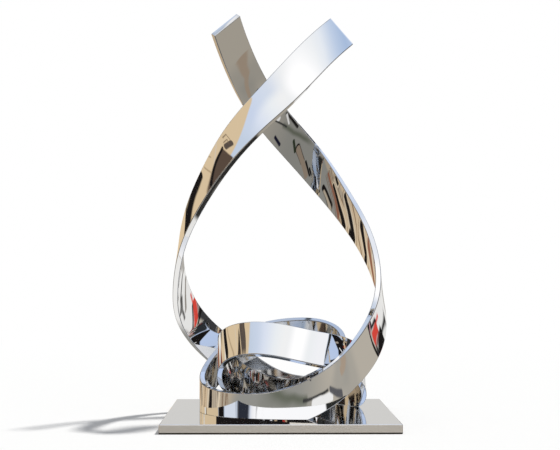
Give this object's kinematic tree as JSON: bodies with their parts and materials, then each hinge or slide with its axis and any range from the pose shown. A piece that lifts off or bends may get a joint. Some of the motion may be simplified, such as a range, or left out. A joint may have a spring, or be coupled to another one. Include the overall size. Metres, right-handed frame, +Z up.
{
  "type": "abstract metal sculpture",
  "caption": "Mirror-polished steel ribbon whose arms rise from a low coil and cross, fixed to a square steel plate as a freestanding ornament.",
  "frame": {"origin": "centre of the plate's underside", "axes": "+Z up; -Y towards the side that the sculpture is seen from, with +X to its right"},
  "size_m": [0.4, 0.4, 0.7331],
  "materials": {
    "mirror_steel": "mirror-polished stainless flat bar with eased corners",
    "plate_steel": "polished top, satin sides, bright narrow edge"
  },
  "bodies": {
    "root": {"ribbon": "mirror_steel", "base_plate": "plate_steel"}
  },
  "joints": []
}
